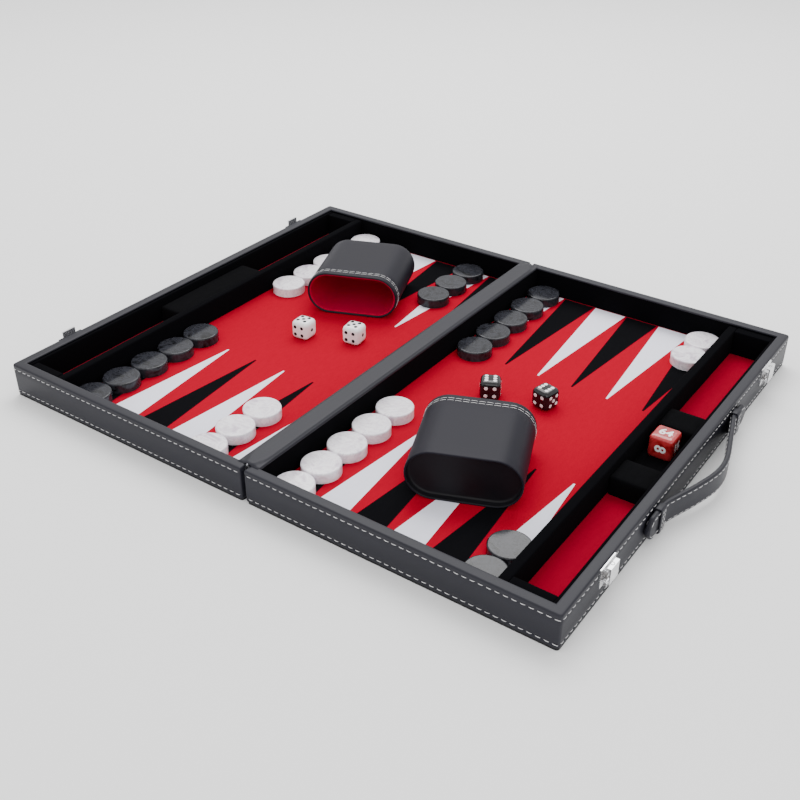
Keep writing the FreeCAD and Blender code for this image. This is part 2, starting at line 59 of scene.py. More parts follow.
wrap_low, wrap_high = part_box("leather_wrap_right")
SEAM = (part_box("leather_wrap_left")[1].x + wrap_low.x) / 2
HALF_WIDTH = (wrap_high.x - SEAM) / MM
HALF_LENGTH = wrap_high.y / MM
SEAM_GAP = (wrap_low.x - SEAM) / MM
RIM = wrap_high.z / MM
FIELD_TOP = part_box("playing_field_right")[1].z / MM
RIM_WIDTH = 9.2
SEAM_RIM_WIDTH = 8.6
CORNER = 3.0
SEAM_CORNER = 1.3
# Stitches: their pitch, their length and the thread's width.
WALL_STITCH = (6.5 * MM, 4.3 * MM, 0.62 * MM)
STRAP_STITCH = (6.4 * MM, 4.7 * MM, 0.55 * MM)
KEEPER_STITCH = (3.4 * MM, 2.8 * MM, 0.5 * MM)
CUP_STITCH = (6.3 * MM, 5.9 * MM, 0.5 * MM)


def at(u, y, z):
    """A point in the frame from its distance to the seam, its y and its height, in millimetres."""
    return Vector((SEAM + u * MM, y * MM, z * MM))


def limits(node):
    """A CAD node's box as two (u, y, z) corners in millimetres."""
    low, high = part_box(node)
    return [((corner.x - SEAM) / MM, corner.y / MM, corner.z / MM) for corner in (low, high)]


# ---- materials -------------------------------------------------------------------------


def material(name, colour, roughness, **sockets):
    made = bpy.data.materials.new(name)
    made.use_nodes = True
    shader = made.node_tree.nodes["Principled BSDF"]
    shader.inputs["Base Color"].default_value = (*colour, 1)
    shader.inputs["Roughness"].default_value = roughness
    for socket, value in sockets.items():
        shader.inputs[socket.replace("_", " ")].default_value = value
    return made


def add_node(made, kind, **values):
    item = made.node_tree.nodes.new(kind)
    for key, value in values.items():
        if key in item.inputs:
            item.inputs[key].default_value = value
        else:
            setattr(item, key, value)
    return item


def coordinates(made):
    return add_node(made, "ShaderNodeTexCoord").outputs["Object"]


def noise_node(made, scale, detail=3.0, stretch=None):
    """Noise in object space; scale is features per metre."""
    texture = add_node(made, "ShaderNodeTexNoise", Scale=scale, Detail=detail)
    source = coordinates(made)
    if stretch:
        mapping = add_node(made, "ShaderNodeMapping", Scale=stretch)
        made.node_tree.links.new(source, mapping.inputs["Vector"])
        source = mapping.outputs["Vector"]
    made.node_tree.links.new(source, texture.inputs["Vector"])
    return texture


def ramp(made, source, stops):
    """Colours placed along a value from 0 to 1."""
    item = add_node(made, "ShaderNodeValToRGB")
    elements = item.color_ramp.elements
    while len(elements) < len(stops):
        elements.new(0.5)
    for element, (place, colour) in zip(elements, stops):
        element.position = place
        element.color = (*colour, 1)
    made.node_tree.links.new(source, item.inputs["Fac"])
    return item.outputs["Color"]


def shader_of(made):
    return made.node_tree.nodes["Principled BSDF"]


def link_colour(made, colour):
    made.node_tree.links.new(colour, shader_of(made).inputs["Base Color"])


def link_roughness(made, source, low, high):
    spread = add_node(made, "ShaderNodeMapRange")
    spread.inputs["To Min"].default_value = low
    spread.inputs["To Max"].default_value = high
    made.node_tree.links.new(source, spread.inputs["Value"])
    made.node_tree.links.new(spread.outputs["Result"], shader_of(made).inputs["Roughness"])


def link_bump(made, heights, strength, distance):
    """Bump from several height sources, one over another."""
    previous = None
    for height in heights:
        bump = add_node(made, "ShaderNodeBump", Strength=strength, Distance=distance)
        made.node_tree.links.new(height, bump.inputs["Height"])
        if previous:
            made.node_tree.links.new(previous, bump.inputs["Normal"])
        previous = bump.outputs["Normal"]
    made.node_tree.links.new(previous, shader_of(made).inputs["Normal"])


def scaled(colour, factor):
    return tuple(channel * factor for channel in colour)


def mottle(made, source, colour, darkest, lightest, low=0.3, high=0.7):
    """Vary a colour with a value; darkest and lightest are factors on the colour."""
    stops = [(low, scaled(colour, darkest)), (high, scaled(colour, lightest))]
    link_colour(made, ramp(made, source, stops))


def leather(name, colour, roughness, grain=900, depth=0.00012, shine=0.26):
    """Fine pebbled leatherette with faint wear and a soft shine."""
    made = material(name, colour, roughness, Specular_IOR_Level=shine)
    cells = add_node(made, "ShaderNodeTexVoronoi", Scale=grain)
    cells.feature = "SMOOTH_F1"
    made.node_tree.links.new(coordinates(made), cells.inputs["Vector"])
    pores = noise_node(made, grain * 2.2, 4)
    cloud = noise_node(made, 14, 4)
    mottle(made, cloud.outputs["Fac"], colour, 0.88, 1.14)
    link_roughness(made, cloud.outputs["Fac"], roughness - 0.06, roughness + 0.08)
    link_bump(made, [cells.outputs["Distance"], pores.outputs["Fac"]], 0.35, depth)
    return made


def felt(name, colour, nap=1400, sheen=0.25, spread=0.12):
    """Short pressed fibres: a matted nap with slight colour flecks."""
    made = material(name, colour, 0.95, Sheen_Weight=sheen, Sheen_Roughness=0.6,
                    Specular_IOR_Level=0.02)
    tint = [min(1, channel * 1.5 + 0.1) for channel in colour]
    shader_of(made).inputs["Sheen Tint"].default_value = (*tint, 1)
    fibres = noise_node(made, nap, 6)
    lay = noise_node(made, 320, 3, (1, 0.35, 1))
    mix = add_node(made, "ShaderNodeMath", operation="ADD")
    made.node_tree.links.new(fibres.outputs["Fac"], mix.inputs[0])
    made.node_tree.links.new(lay.outputs["Fac"], mix.inputs[1])
    half = add_node(made, "ShaderNodeMath", operation="MULTIPLY")
    half.inputs[1].default_value = 0.5
    made.node_tree.links.new(mix.outputs[0], half.inputs[0])
    mottle(made, half.outputs[0], colour, 1 - spread, 1 + spread)
    link_bump(made, [fibres.outputs["Fac"], lay.outputs["Fac"]], 0.5, 0.0002)
    return made


def pearl(name, dark, pale, roughness=0.18, coat=0.5, shine=0.5):
    """Cast plastic with swirling pearl bands under a clear polish."""
    made = material(name, pale, roughness, Specular_IOR_Level=shine, Coat_Weight=coat,
                    Coat_Roughness=0.06, Subsurface_Weight=0.05)
    shader_of(made).inputs["Subsurface Radius"].default_value = (0.002, 0.0015, 0.0012)
    warp = noise_node(made, 38, 5)
    warp.inputs["Distortion"].default_value = 2.2
    bands = noise_node(made, 120, 4)
    bands.inputs["Distortion"].default_value = 1.2
    mix = add_node(made, "ShaderNodeMath", operation="MULTIPLY_ADD")
    made.node_tree.links.new(bands.outputs["Fac"], mix.inputs[0])
    mix.inputs[1].default_value = 0.4
    made.node_tree.links.new(warp.outputs["Fac"], mix.inputs[2])
    middle = tuple((a + b) / 2 for a, b in zip(dark, pale))
    stops = [(0.5, dark), (0.6, middle), (0.7, pale), (0.78, middle), (0.84, pale)]
    link_colour(made, ramp(made, mix.outputs[0], stops))
    fine = noise_node(made, 500, 2)
    link_roughness(made, fine.outputs["Fac"], roughness - 0.04, roughness + 0.06)
    link_bump(made, [fine.outputs["Fac"]], 0.08, 0.00005)
    return made


def metal(name, colour, roughness, brush=(1, 1, 1)):
    """Plated or bare metal with fine marks; brush stretches them along an axis."""
    made = material(name, colour, roughness, Metallic=1.0)
    marks = noise_node(made, 900, 3, brush)
    blotch = noise_node(made, 120, 2)
    mottle(made, blotch.outputs["Fac"], colour, 0.93, 1.05)
    link_roughness(made, marks.outputs["Fac"], max(0.03, roughness - 0.05), roughness + 0.08)
    link_bump(made, [marks.outputs["Fac"]], 0.04, 0.00001)
    return made


def thread(name, colour):
    """Twisted sewing thread."""
    made = material(name, colour, 0.8, Sheen_Weight=0.2)
    twist = noise_node(made, 2600, 2)
    mottle(made, twist.outputs["Fac"], colour, 0.78, 1.0, 0.35, 0.65)
    link_bump(made, [twist.outputs["Fac"]], 0.4, 0.0001)
    return made


def board(name, colour):
    """Raw wood with its fibres along y."""
    made = material(name, colour, 0.75)
    fibres = noise_node(made, 260, 5, (1, 0.08, 1))
    mottle(made, fibres.outputs["Fac"], colour, 0.8, 1.15)
    link_bump(made, [fibres.outputs["Fac"]], 0.3, 0.0002)
    return made


LEATHER = leather("leatherette_charcoal", (0.0125, 0.0125, 0.0185), 0.46)
# Bottom skin: a darker leatherette whose darkness paints the shade along the case's bottom edge.
BASE_COVER_PAINTED_SHADE = leather("leatherette_base_painted_shade", (0.008, 0.008, 0.01), 0.6)
STRAP_LEATHER = leather("strap_leather", (0.0125, 0.0125, 0.0185), 0.44, 1100)
CUP_LEATHER = leather("cup_leather", (0.0088, 0.0082, 0.014), 0.46, 1300, 0.00005, 0.15)
# The cup's recessed base: its leather colour is darkened to paint the shade inside the recess.
CUP_BASE_PAINTED_SHADE = leather("cup_base_painted_shade_leather", (0.0035, 0.003, 0.005), 0.5, 1300, 0.00008)
RED_FELT = felt("red_felt", (0.4, 0.0, 0.018), sheen=0.0, spread=0.06)
TROUGH_RED = felt("trough_red_felt", (0.34, 0.0, 0.02), sheen=0.02, spread=0.06)
CUP_RED = felt("cup_red_felt", (0.46, 0.0, 0.035), sheen=0.1, spread=0.08)
WHITE_FELT = felt("white_felt", (0.86, 0.86, 0.97), sheen=0.1, spread=0.03)
BLACK_FELT = felt("black_felt", (0.004, 0.004, 0.005), sheen=0.03)
VELVET = felt("black_velvet", (0.0022, 0.0022, 0.003), 1900, 0.035)
BLOCK_VELVET = felt("block_velvet", (0.003, 0.003, 0.0036), 1900, 0.06, 0.25)
THREAD = thread("thread_offwhite", (0.74, 0.73, 0.74))
CHROME = metal("chrome", (0.82, 0.82, 0.83), 0.24)
RIVET = metal("rivet_chrome", (0.3, 0.29, 0.29), 0.4)
SPRING = metal("spring_wire", (0.5, 0.48, 0.47), 0.5, (1, 6, 1))
HINGE = metal("hinge_grey", (0.3, 0.3, 0.32), 0.35, (1, 0.1, 1))
WOOD = board("raw_board", (0.5, 0.36, 0.22))
WHITE_PEARL = pearl("checker_white_pearl", (0.62, 0.53, 0.63), (0.98, 0.95, 0.99))
BLACK_PEARL = pearl("checker_black_pearl", (0.001, 0.001, 0.0015), (0.028, 0.029, 0.036), 0.14,
                    coat=0.06, shine=0.27)
CUBE_RED = pearl("cube_red_pearl", (0.22, 0.001, 0.004), (0.5, 0.03, 0.035))
IVORY = pearl("die_ivory", (0.88, 0.86, 0.86), (0.95, 0.93, 0.94))
JET = pearl("die_jet", (0.003, 0.003, 0.004), (0.01, 0.01, 0.012), 0.1, coat=0.2, shine=0.35)
PIP_BLACK = material("pip_black", (0.003, 0.003, 0.004), 0.6, Specular_IOR_Level=0.15)
PIP_WHITE = material("pip_white", (0.9, 0.9, 0.9), 0.4)
for paint in (PIP_BLACK, PIP_WHITE):
    link_roughness(paint, noise_node(paint, 700, 3).outputs["Fac"], 0.3, 0.5)

# ---- mesh building ---------------------------------------------------------------------


def piece(name, body, points, faces, materials, face_slots=None, stands_for=()):
    """Make a mesh piece in the frame, give it its materials and let it ride on a body."""
    mesh = bpy.data.meshes.new(name)
    mesh.from_pydata([tuple(point) for point in points], [], faces)
    mesh.validate()
    made = bpy.data.objects.new(name, mesh)
    bpy.context.collection.objects.link(made)
    for item in materials:
        mesh.materials.append(item)
    if face_slots:
        mesh.polygons.foreach_set("material_index", face_slots)
    mesh.polygons.foreach_set("use_smooth", [True] * len(mesh.polygons))
    mesh.update()
    if body:
        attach(made, body)
    if stands_for:
        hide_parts(*stands_for)
    return made


def loft(rings, caps=False):
    """Points and faces of a skin over successive rings of equal length, closed round each ring."""
    count = len(rings[0])
    points = [point for ring in rings for point in ring]
    faces = []
    for row in range(len(rings) - 1):
        first = row * count
        for column in range(count):
            after = (column + 1) % count
            faces.append((first + column, first + after, first + count + after, first + count + column))
    if caps:
        faces.append(tuple(reversed(range(count))))
        faces.append(tuple(range(len(points) - count, len(points))))
    return points, faces


def rounded_rectangle(low_a, high_a, low_b, high_b, radius, steps=6, low_radius=None):
    """Points round a rectangle with rounded corners; low_radius is for the two corners at low_a."""
    points = []
    near = radius if low_radius is None else low_radius
    corners = [(high_a - radius, high_b - radius, radius, 0), (low_a + near, high_b - near, near, 90),
               (low_a + near, low_b + near, near, 180), (high_a - radius, low_b + radius, radius, 270)]
    for a, b, size, start in corners:
        for step in range(steps + 1):
            angle = math.radians(start + 90 * step / steps)
            points.append((a + size * math.cos(angle), b + size * math.sin(angle)))
    return points


def smooth_line(knots, steps):
    """Catmull-Rom curve through two-number knots."""
    padded = [knots[0]] + list(knots) + [knots[-1]]
    line = []
    for index in range(len(knots) - 1):
        p0, p1, p2, p3 = [Vector(p) for p in padded[index:index + 4]]
        for step in range(steps):
            t = step / steps
            line.append(0.5 * (2 * p1 + (p2 - p0) * t + (2 * p0 - 5 * p1 + 4 * p2 - p3) * t ** 2
                               + (3 * p1 - p0 - 3 * p2 + p3) * t ** 3))
    line.append(Vector(knots[-1]))
    return line


def graded(low, high, radius, cell):
    """Places along an edge, close together where it is rounded."""
    radius = min(radius, (high - low) / 2 * 0.98)
    steps = [0, 0.12, 0.3, 0.6, 1.0]
    start = [low + radius * step for step in steps]
    end = [high - radius * step for step in reversed(steps)]
    middle_length = end[0] - start[-1]
    count = max(1, round(middle_length / cell))
    middle = [start[-1] + middle_length * index / count for index in range(1, count)]
    return start + middle + end


def soft_box(low, high, radius, crown=0.0, cell=6.0, wobble=0.0, round_base=False):
    """Points and faces of a box with rounded edges, a crowned top and an uneven skin.

    The bottom edges stay square, so that the box meets the floor under it, unless round_base.
    """
    axes = [graded(low[k], high[k], radius, cell) for k in range(3)]
    sizes = [len(axis) for axis in axes]
    index_of, points, faces = {}, [], []
    inner_low = [low[k] + min(radius, (high[k] - low[k]) / 2) for k in range(3)]
    inner_high = [high[k] - min(radius, (high[k] - low[k]) / 2) for k in range(3)]

    def point(i, j, k):
        key = (i, j, k)
        if key not in index_of:
            raw = Vector((axes[0][i], axes[1][j], axes[2][k]))
            core = Vector([min(max(raw[n], inner_low[n]), inner_high[n]) for n in range(3)])
            if not round_base:
                core.z = min(raw.z, inner_high[2])
            away = raw - core
            if away.length > 1e-9:
                raw = core + away.normalized() * radius
            across = [(raw[n] - low[n]) / (high[n] - low[n]) * 2 - 1 for n in range(2)]
            lift = max(0, (raw.z - low[2]) / (high[2] - low[2]))
            raw.z += crown * lift * (1 - across[0] ** 2) * (1 - across[1] ** 4)
            if wobble:
                raw += noise.noise_vector(raw * 0.12) * wobble * lift
            index_of[key] = len(points)
            points.append(at(*raw))
        return index_of[key]

    for fixed in range(3):
        first, second = [n for n in range(3) if n != fixed]
        for end in (0, sizes[fixed] - 1):
            for a in range(sizes[first] - 1):
                for b in range(sizes[second] - 1):
                    corners = []
                    for step_a, step_b in ((0, 0), (1, 0), (1, 1), (0, 1)):
                        key = [0, 0, 0]
                        key[fixed], key[first], key[second] = end, a + step_a, b + step_b
                        corners.append(point(*key))
                    flip = (end == 0) == (fixed != 1)
                    faces.append(tuple(reversed(corners)) if flip else tuple(corners))
    return points, faces


def merge_parts(parts):
    """Join several (points, faces) pairs into one."""
    points, faces = [], []
    for part_points, part_faces in parts:
        base = len(points)
        points.extend(part_points)
        faces.extend(tuple(base + index for index in face) for face in part_faces)
    return points, faces


# A stitch along its length: (place as a share of the length, height and size as shares of the width).
STITCH_PROFILE = [(-0.5, -0.55, 0.35), (-0.38, 0.1, 0.8), (0, 0.35, 1.0), (0.38, 0.1, 0.8),
                  (0.5, -0.55, 0.35)]
THREAD_SIDES = 8
THREAD_FLATNESS = 0.75


def stitch(place, along, outward, length, width):
    """One short sewn stitch: a thread that rises from the leather and dives back in."""
    aside = along.cross(outward).normalized()
    rings = []
    for share, lift, size in STITCH_PROFILE:
        centre = place + along * (share * length) + outward * (lift * width)
        ring = []
        for side in range(THREAD_SIDES):
            angle = math.tau * side / THREAD_SIDES
            spoke = aside * math.cos(angle) + outward * math.sin(angle) * THREAD_FLATNESS
            ring.append(centre + spoke * width * 0.5 * size)
        rings.append(ring)
    return loft(rings, caps=True)


def stitch_line(path, outwards, pitch, length, width):
    """Stitches at an even pitch along a path; outwards holds the way out of the surface at each point."""
    lengths = [0.0]
    for start, stop in zip(path, path[1:]):
        lengths.append(lengths[-1] + (stop - start).length)
    total = lengths[-1]
    count = max(1, int(total / pitch))
    step = total / count
    parts, segment = [], 0
    for number in range(count):
        distance = (number + 0.5) * step
        while lengths[segment + 1] < distance:
            segment += 1
        share = (distance - lengths[segment]) / (lengths[segment + 1] - lengths[segment])
        place = path[segment].lerp(path[segment + 1], share)
        along = (path[segment + 1] - path[segment]).normalized()
        outward = outwards[segment].lerp(outwards[segment + 1], share).normalized()
        along = Matrix.Rotation(math.radians(random.uniform(-4, 4)), 3, outward) @ along
        parts.append(stitch(place, along, outward, length * random.uniform(0.94, 1.04), width))
    return merge_parts(parts)


# ---- trays -----------------------------------------------------------------------------

# The wrap's section: (distance in from the outer face, height), with a shallow groove under
# each row of stitches and a rolled rim.
LOW_ROW, HIGH_ROW = 5.2, RIM - 4.4
WRAP_SECTION = [
    (1.0, 2.25), (0.35, 2.2), (0.05, 2.5), (0, 3.0),
    (0, LOW_ROW - 0.7), (0.22, LOW_ROW - 0.3), (0.22, LOW_ROW + 0.3), (0, LOW_ROW + 0.7),
    (0, 10), (0, 16), (0, 22),
    (0, HIGH_ROW - 0.7), (0.22, HIGH_ROW - 0.3), (0.22, HIGH_ROW + 0.3), (0, HIGH_ROW + 0.7),
    (0, RIM - 1.5), (0.1, RIM - 0.95), (0.4, RIM - 0.45), (0.9, RIM - 0.12), (1.5, RIM),
    (3.0, RIM + 0.04), (RIM_WIDTH / 2, RIM + 0.06), (6.4, RIM + 0.04),
    (7.9, RIM), (8.6, RIM - 0.12), (9.1, RIM - 0.45), (9.32, RIM - 0.95), (9.34, RIM - 1.6),
    (9.2, RIM - 1.75), (8.9, RIM - 1.75),
]


def tray_ring(side, inset, height):
    """One level of the wrap: a rounded rectangle set in from the outer faces."""
    seam_inset = inset * SEAM_RIM_WIDTH / RIM_WIDTH
    radius = max(CORNER - inset, 0.12)
    seam_radius = max(SEAM_CORNER - inset, 0.12)
    flat = rounded_rectangle(SEAM_GAP + seam_inset, HALF_WIDTH - inset, -HALF_LENGTH + inset,
                             HALF_LENGTH - inset, radius, low_radius=seam_radius)
    if side < 0:
        flat = [(-u, y) for u, y in reversed(flat)]
    return [at(u, y, height) for u, y in flat]


def tray_outline(side, height):
    """The outer face from the seam round the end wall and back, with its outward directions."""
    path, outwards = [], []
    start_u = SEAM_GAP + 1.5
    corner_u, corner_y = HALF_WIDTH - CORNER, HALF_LENGTH - CORNER
    knots = [(start_u, -HALF_LENGTH, (0, -1))]
    for start, middle_y in ((-90, -corner_y), (0, corner_y)):
        for step in range(7):
            angle = math.radians(start + 15 * step)
            direction = (math.cos(angle), math.sin(angle))
            knots.append((corner_u + CORNER * direction[0], middle_y + CORNER * direction[1], direction))
    knots.append((start_u, HALF_LENGTH, (0, 1)))
    for u, y, direction in knots:
        path.append(at(side * u, y, height))
        outwards.append(Vector((side * direction[0], direction[1], 0)))
    return path, outwards


CLOTH_CELL = 9
STOP_LENGTH = 10
STOP_DROP = 0.8
FRAME_THICK = 3.1
WELL_HALF = 31


def tray_wrap(name, side):
    """The leatherette round a tray, with its two rows of stitches."""
    rings = [tray_ring(side, inset, height) for inset, height in WRAP_SECTION]
    points, faces = loft(rings)
    piece("wrap_" + name, name + "_tray", points, faces, [LEATHER],
          stands_for=["leather_wrap_" + name])
    rows = [stitch_line(*tray_outline(side, height), *WALL_STITCH) for height in (LOW_ROW, HIGH_ROW)]
    points, faces = merge_parts(rows)
    piece("wrap_stitches_" + name, name + "_tray", points, faces, [THREAD])


def tray_cloths(name, side):
    """The velvet on the divider, and on the frame of the side trough: two end stops and a long strip."""
    low, high = limits("divider_" + name)
    points, faces = soft_box(low, high, 1.6, cell=CLOTH_CELL)
    piece("divider_cloth_" + name, name + "_tray", points, faces, [VELVET],
          stands_for=["divider_" + name])
    start = max(abs(low[0]), abs(high[0]))

    low, high = limits("trough_frame_" + name)
    edge = max(abs(low[0]), abs(high[0]))
    end = edge - FRAME_THICK
    stop_top = high[2] - STOP_DROP
    spans = [((start, low[1], low[2]), (end, low[1] + STOP_LENGTH, stop_top)),
             ((start, high[1] - STOP_LENGTH, low[2]), (end, high[1], stop_top)),
             ((end, low[1], low[2]), (edge, high[1], high[2]))]
    parts = []
    for first, second in spans:
        low_u, high_u = sorted((side * first[0], side * second[0]))
        parts.append(soft_box((low_u, *first[1:]), (high_u, *second[1:]), 1.2, cell=CLOTH_CELL))
    points, faces = merge_parts(parts)
    piece("trough_frame_cloth_" + name, name + "_tray", points, faces, [VELVET],
          stands_for=["trough_frame_" + name])


for name, side in SIDES.items():
    tray_wrap(name, side)
    tray_cloths(name, side)

strip_low, strip_high = limits("hinge_strip_right")
STRIP_HALF = strip_high[0]
STRIP_END = strip_high[1]
STRIP_FILM = 0.25
STRIP_RISE = 1.35
STRIP_TAPER = 12
STRIP_SHOULDER = 1.6
BARREL_HALF = 3.0
ROWS_ALONG, STEPS_ACROSS = 120, 56


def strip_height(u, y):
    """The strip's height: a flat band over the hinge barrel that narrows at the two ends."""
    near_end = min(1.0, (STRIP_END - abs(y)) / STRIP_TAPER)
    band = BARREL_HALF + (STRIP_HALF - STRIP_SHOULDER - BARREL_HALF) * near_end
    fall = min(max((abs(u) - band + STRIP_SHOULDER) / (2 * STRIP_SHOULDER), 0.0), 1.0)
    edge = min(1.0, (STRIP_HALF - abs(u)) / 0.5)
    rise = STRIP_RISE * (1 - fall * fall * (3 - 2 * fall))
    return strip_low[2] + 0.05 + 0.2 * math.sqrt(max(edge, 0)) + rise


def hinge_cover():
    """The leatherette strip over the hinge, as one piece."""
    rings = []
    for row in range(ROWS_ALONG + 1):
        y = STRIP_END * (2 * row / ROWS_ALONG - 1)
        top = []
        for step in range(STEPS_ACROSS + 1):
            u = STRIP_HALF * (2 * step / STEPS_ACROSS - 1)
            uneven = 0.05 * noise.noise(Vector((u * 0.2, y * 0.04, 0)))
            top.append(at(u, y, strip_height(u, y) + uneven))
        rings.append(top + [point - Vector((0, 0, STRIP_FILM * MM)) for point in reversed(top)])
    points, faces = loft(rings, caps=True)
    strip = piece("hinge_cover", None, points, faces, [LEATHER],
                  stands_for=["hinge_strip_right", "hinge_strip_left"])
    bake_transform(strip)


def cube_well():
    """The padded block with the doubling cube's well: two cushions and a thin floor between them."""
    low, high = limits("cube_well_block")
    well_floor = limits("doubling_cube")[0][2]
    parts = [soft_box((low[0], WELL_HALF, low[2]), high, 2.6, 0.5, 4, 0.15),
             soft_box(low, (high[0], -WELL_HALF, high[2]), 2.6, 0.5, 4, 0.15),
             soft_box((low[0], -WELL_HALF, low[2]), (high[0], WELL_HALF, well_floor), 0.9, cell=5)]
    points, faces = merge_parts(parts)
    block = piece("cube_well_cloth", "right_tray", points, faces, [BLOCK_VELVET],
                  stands_for=["cube_well_block"])


def left_trough_block():
    """The long padded block in the left trough."""
    low, high = limits("trough_block_left")
    points, faces = soft_box(low, high, 2.8, 0.6, 5, 0.2)
    block = piece("trough_block_cloth", "left_tray", points, faces, [BLOCK_VELVET],
                  stands_for=["trough_block_left"])


hinge_cover()
cube_well()
left_trough_block()

# ---- handle ----------------------------------------------------------------------------

STRAP_LINE = [(-101, 3.5), (-92, 3.5), (-84, 3.5), (-76, 3.5), (-68, 4.7), (-56, 8.5), (-42, 13.3),
              (-30, 16.9), (-18, 20.0), (-6, 21.8), (6, 21.6), (18, 19.6), (34, 15.2), (49, 10.9),
              (60, 7.9), (69, 5.1), (76, 3.6), (84, 3.5), (92, 3.5), (101, 3.5)]
strap_low, strap_high = limits("handle_strap")
STRAP_MIDDLE = (strap_low[2] + strap_high[2]) / 2
STRAP_HALF = (strap_high[2] - strap_low[2]) / 2
STRAP_THICK = 4.0
STRAP_PUFF = 0.18
POINT_START, POINT_LENGTH = 94.0, 7.0
LAST_STITCH = 99.2
STITCH_INSET = 2.2
KEEPER_PLACES = (-79.5, 79.5)
KEEPER_HALF_LENGTH = 4.5
KEEPER_HALF_THICK = 0.58
KEEPER_INSET = 0.6
strap_path = smooth_line(STRAP_LINE, 6)


def strap_half_height(y):
    """Half the strap's height, drawing in to a blunt point past each keeper."""
    past = max(0.0, abs(y) - POINT_START) / POINT_LENGTH
    return STRAP_HALF * (1 - 0.8 * min(past, 1.0) ** 1.4)


def strap_frame(index):
    """Middle and outward normal of the strap at a sample of its path."""
    before, after = strap_path[max(index - 1, 0)], strap_path[min(index + 1, len(strap_path) - 1)]
    along = (after - before).normalized()
    y, u = strap_path[index]
    return Vector((HALF_WIDTH + u, y, 0)), Vector((along.x, -along.y, 0)).normalized()


def strap():
    """The carrying strap: a slightly puffed band along its path."""
    rings = []
    for index in range(len(strap_path)):
        middle, outward = strap_frame(index)
        half = strap_half_height(middle.y)
        side = STRAP_THICK / 2
        ring = []
        for depth, height in rounded_rectangle(-side, side, -half, half, min(1.25, half * 0.9), 4):
            puff = STRAP_PUFF * (1 - (height / max(half, 1)) ** 2) * (1 if depth > 0 else -1)
            place = middle + outward * (depth + puff)
            ring.append(at(place.x, place.y, STRAP_MIDDLE + height))
        rings.append(ring)
    points, faces = loft(rings, caps=True)
    piece("strap", "right_tray", points, faces, [STRAP_LEATHER],
          stands_for=["handle_strap"])


def strap_stitches():
    """A row of stitches along both edges of the strap, on its outer and its inner face."""
    parts = []
    for edge in (-1, 1):
        for face in (-1, 1):
            path, outwards = [], []
            for index in range(len(strap_path)):
                middle, outward = strap_frame(index)
                if abs(middle.y) > LAST_STITCH:
                    continue
                reach = max(0.8, strap_half_height(middle.y) - STITCH_INSET)
                place = middle + outward * face * (STRAP_THICK / 2 + 0.1)
                path.append(at(place.x, place.y, STRAP_MIDDLE + edge * reach))
                outwards.append(outward * face)
            parts.append(stitch_line(path, outwards, *STRAP_STITCH))
    points, faces = merge_parts(parts)
    piece("strap_stitches", "right_tray", points, faces, [THREAD])


def keeper_loop(low, high, centre):
    """A leather loop round the strap, between two (u, y, z) corners."""
    outline = rounded_rectangle(low[0] + KEEPER_INSET, high[0] - KEEPER_INSET,
                                low[2] + KEEPER_INSET, high[2] - KEEPER_INSET, 1.3, 5)
    section = rounded_rectangle(-KEEPER_HALF_THICK, KEEPER_HALF_THICK, -KEEPER_HALF_LENGTH,
                                KEEPER_HALF_LENGTH, 0.5, 3)
    rings = []
    for index, (u, z) in enumerate(outline):
        before, after = outline[index - 1], outline[(index + 1) % len(outline)]
        along = Vector((after[0] - before[0], after[1] - before[1])).normalized()
        outward = Vector((along.y, -along.x))
        rings.append([at(u + outward.x * depth, centre + y, z + outward.y * depth)
                      for depth, y in section])
    rings.append(rings[0])
    return loft(rings)


def keepers():
    """The two loops that hold the strap, each with two rows of stitches."""
    low, high = limits("handle_keepers")
    loops, rows = [], []
    for centre in KEEPER_PLACES:
        loops.append(keeper_loop(low, high, centre))
        for shift in (-1.6, 1.6):
            path = [at(high[0] + 0.02, centre + shift, z) for z in (low[2] + 1.6, 16, high[2] - 1.6)]
            rows.append(stitch_line(path, [Vector((1, 0, 0))] * 3, *KEEPER_STITCH))
    points, faces = merge_parts(loops)
    piece("keepers", "right_tray", points, faces, [STRAP_LEATHER],
          stands_for=["handle_keepers"])
    points, faces = merge_parts(rows)
    piece("keeper_stitches", "right_tray", points, faces, [THREAD])


strap()
strap_stitches()
keepers()

# ---- latch rings -----------------------------------------------------------------------

RING_RADIUS, RING_WIRE, RING_LIFT = 1.5, 0.26, 0.18
RING_FROM_EDGE = 2.3
RING_STEPS, WIRE_SIDES = 24, 8


def latch_ring(end):
    """A small raised ring on the top of a latch lever."""
    low, high = limits("latch_lever_" + end)
    middle_u, middle_y = high[0] - RING_FROM_EDGE, (low[1] + high[1]) / 2
    rings = []
    for step in range(RING_STEPS):
        angle = math.tau * step / RING_STEPS
        ring = []
        for turn in range(WIRE_SIDES):
            tilt = math.tau * turn / WIRE_SIDES
            reach = RING_RADIUS + RING_WIRE * math.cos(tilt)
            ring.append(at(middle_u + reach * math.cos(angle), middle_y + reach * math.sin(angle),
                           high[2] + 0.02 + RING_LIFT * math.sin(tilt)))
        rings.append(ring)
    rings.append(rings[0])
    points, faces = loft(rings)
    piece("latch_ring_" + end, "latch_lever_" + end, points, faces, [RIVET])


for end in ("front", "back"):
    latch_ring(end)

# ---- dice cups -------------------------------------------------------------------------

CUP_WIDTH, CUP_HEIGHT = 94.0, 45.0
CUP_REACH = CUP_WIDTH / 2 - CUP_HEIGHT / 2
# Where each cup's base end lies, (u, y), and how far it is turned, in degrees.
CUPS = {"right": (144.6, -139.4, 22.2), "left": (-146.4, 139.3, 202.0)}
CUP_ROWS = (76.4, 79.6)
OUTER, BASE, LINING = range(3)
